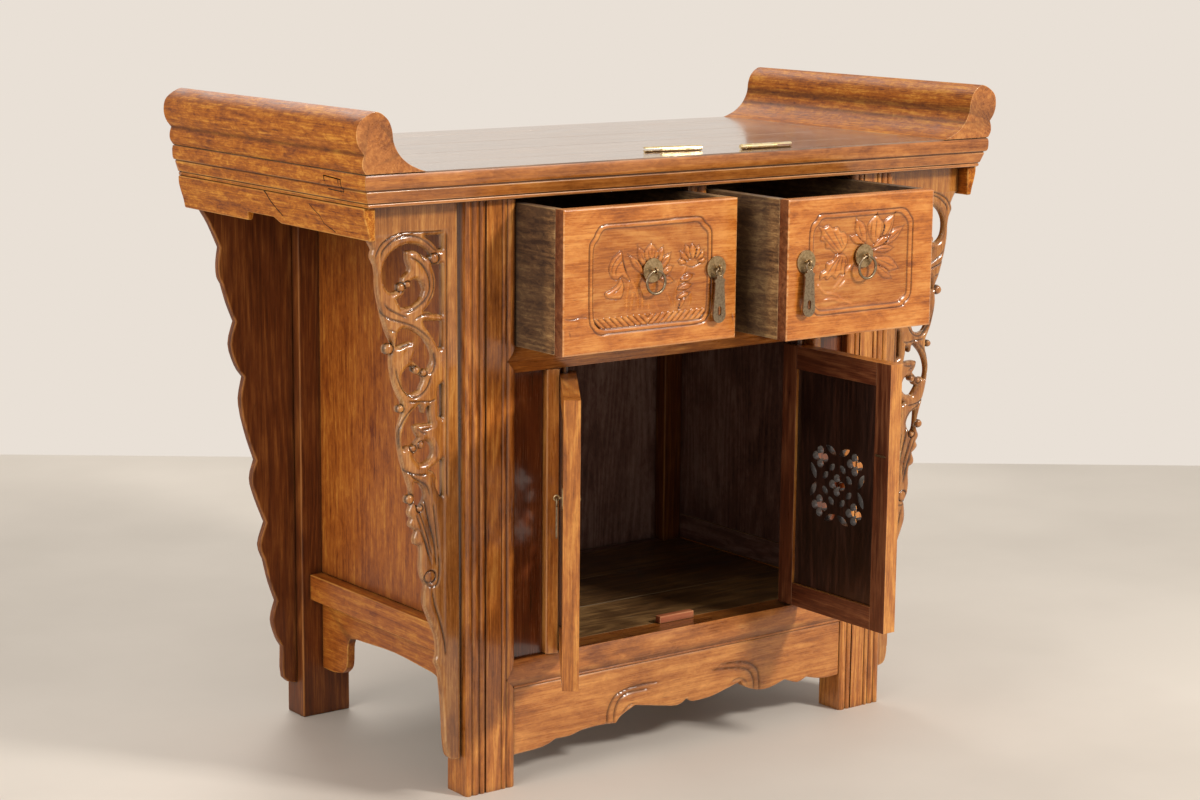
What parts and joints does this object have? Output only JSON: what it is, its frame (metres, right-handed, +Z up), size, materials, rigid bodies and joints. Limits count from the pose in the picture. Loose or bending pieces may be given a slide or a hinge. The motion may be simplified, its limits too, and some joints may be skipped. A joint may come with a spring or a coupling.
{
  "type": "altar cabinet",
  "caption": "Free-standing altar cabinet: everted-flange top, reeded legs, pierced side spandrels, drawers that slide out over a cupboard with pivoted doors.",
  "frame": {"origin": "on the floor, under the middle of the bounding box of the whole as it stands, with drawers and doors open as pictured", "axes": "+X to the right seen from the front, +Y to the back, +Z up"},
  "size_m": [1.042, 0.6366, 0.87],
  "materials": {
    "front_wood": "oiled",
    "end_wood": "oiled",
    "table_wood": "worn",
    "spandrel_wood": "worn oil",
    "inner_wood": "stained",
    "raw_wood": "raw",
    "stop_wood": "raw",
    "iron": "patinated",
    "brass": "polished"
  },
  "bodies": {
    "carcass": {"left_front_leg": "front_wood", "right_front_leg": "front_wood", "left_rear_leg": "front_wood", "right_rear_leg": "front_wood", "top_front_rail": "front_wood", "top_back_rail": "front_wood", "top_left_end": "end_wood", "top_right_end": "end_wood", "top_boards": "table_wood", "top_battens": "inner_wood", "left_flange": "end_wood", "right_flange": "end_wood", "left_cleat": "end_wood", "right_cleat": "end_wood", "drawer_rail": "front_wood", "bottom_rail": "front_wood", "front_apron": "front_wood", "drawer_post": "front_wood", "left_fixed_panel": "front_wood", "right_fixed_panel": "front_wood", "left_inner_stile": "front_wood", "right_inner_stile": "front_wood", "left_side_panel": "end_wood", "right_side_panel": "end_wood", "left_side_rails": "end_wood", "right_side_rails": "end_wood", "left_side_apron": "end_wood", "right_side_apron": "end_wood", "back_boards": "inner_wood", "back_rails": "inner_wood", "bottom_boards": "inner_wood", "drawer_runners": "inner_wood", "left_spandrel": "spandrel_wood", "right_spandrel": "spandrel_wood", "left_rear_wing": "spandrel_wood", "right_rear_wing": "spandrel_wood", "door_stop": "stop_wood"},
    "left_pin": {"left_lock_pin": "brass"},
    "right_pin": {"right_lock_pin": "brass"},
    "left_drawer": {"left_drawer_front": "front_wood", "left_drawer_walls": "raw_wood", "left_drawer_bottom": "raw_wood", "left_drawer_plates": "iron"},
    "left_ring": {"left_drawer_ring": "iron"},
    "left_hasp": {"left_drawer_hasp": "iron"},
    "left_door": {"left_door_frame": "front_wood", "left_door_panel": "front_wood", "left_pull_plate": "iron"},
    "right_drawer": {"right_drawer_front": "front_wood", "right_drawer_walls": "raw_wood", "right_drawer_bottom": "raw_wood", "right_drawer_plates": "iron"},
    "right_ring": {"right_drawer_ring": "iron"},
    "right_hasp": {"right_drawer_hasp": "iron"},
    "right_door": {"right_door_frame": "front_wood", "right_door_panel": "front_wood", "right_pull_plate": "iron"},
    "left_pull_strip": {"left_pull": "iron"},
    "right_pull_strip": {"right_pull": "iron"}
  },
  "joints": [
    {"name": "left_drawer_slide", "type": "slide", "parent": "carcass", "child": "left_drawer", "axis": [0, -1, 0], "range_m": [-0.099, 0.16]},
    {"name": "left_ring_swing", "type": "hinge", "parent": "left_drawer", "child": "left_ring", "pos_m": [-0.14096, -0.24167, 0.6668], "axis": [-1, 0, 0], "range_deg": [-6, 120]},
    {"name": "left_hasp_swing", "type": "hinge", "parent": "left_drawer", "child": "left_hasp", "pos_m": [-0.03988, -0.24167, 0.66233], "axis": [-1, 0, 0], "range_deg": [-4, 120]},
    {"name": "right_drawer_slide", "type": "slide", "parent": "carcass", "child": "right_drawer", "axis": [0, -1, 0], "range_m": [-0.159, 0.1]},
    {"name": "right_ring_swing", "type": "hinge", "parent": "right_drawer", "child": "right_ring", "pos_m": [0.15575, -0.30167, 0.67037], "axis": [-1, 0, 0], "range_deg": [-6, 120]},
    {"name": "right_hasp_swing", "type": "hinge", "parent": "right_drawer", "child": "right_hasp", "pos_m": [0.057, -0.30167, 0.66948], "axis": [-1, 0, 0], "range_deg": [-4, 120]},
    {"name": "left_door_hinge", "type": "hinge", "parent": "carcass", "child": "left_door", "pos_m": [-0.193, -0.12317, 0.348], "axis": [0, 0, -1], "range_deg": [-125.6, 1.4]},
    {"name": "left_pull_swing", "type": "hinge", "parent": "left_door", "child": "left_pull_strip", "pos_m": [-0.30632, -0.26367, 0.4056], "axis": [0.5678, 0.8231, 0], "range_deg": [-6, 110]},
    {"name": "right_door_hinge", "type": "hinge", "parent": "carcass", "child": "right_door", "pos_m": [0.199, -0.12317, 0.348], "axis": [0, 0, 1], "range_deg": [-91.7, 35.3]},
    {"name": "right_pull_swing", "type": "hinge", "parent": "right_door", "child": "right_pull_strip", "pos_m": [0.2147, -0.30299, 0.4056], "axis": [0.0122, -0.9999, 0], "range_deg": [-6, 110]},
    {"name": "left_pin_lift", "type": "slide", "parent": "carcass", "child": "left_pin", "axis": [0, 0, 1], "range_m": [0, 0.12]},
    {"name": "right_pin_lift", "type": "slide", "parent": "carcass", "child": "right_pin", "axis": [0, 0, 1], "range_m": [0, 0.12]}
  ]
}
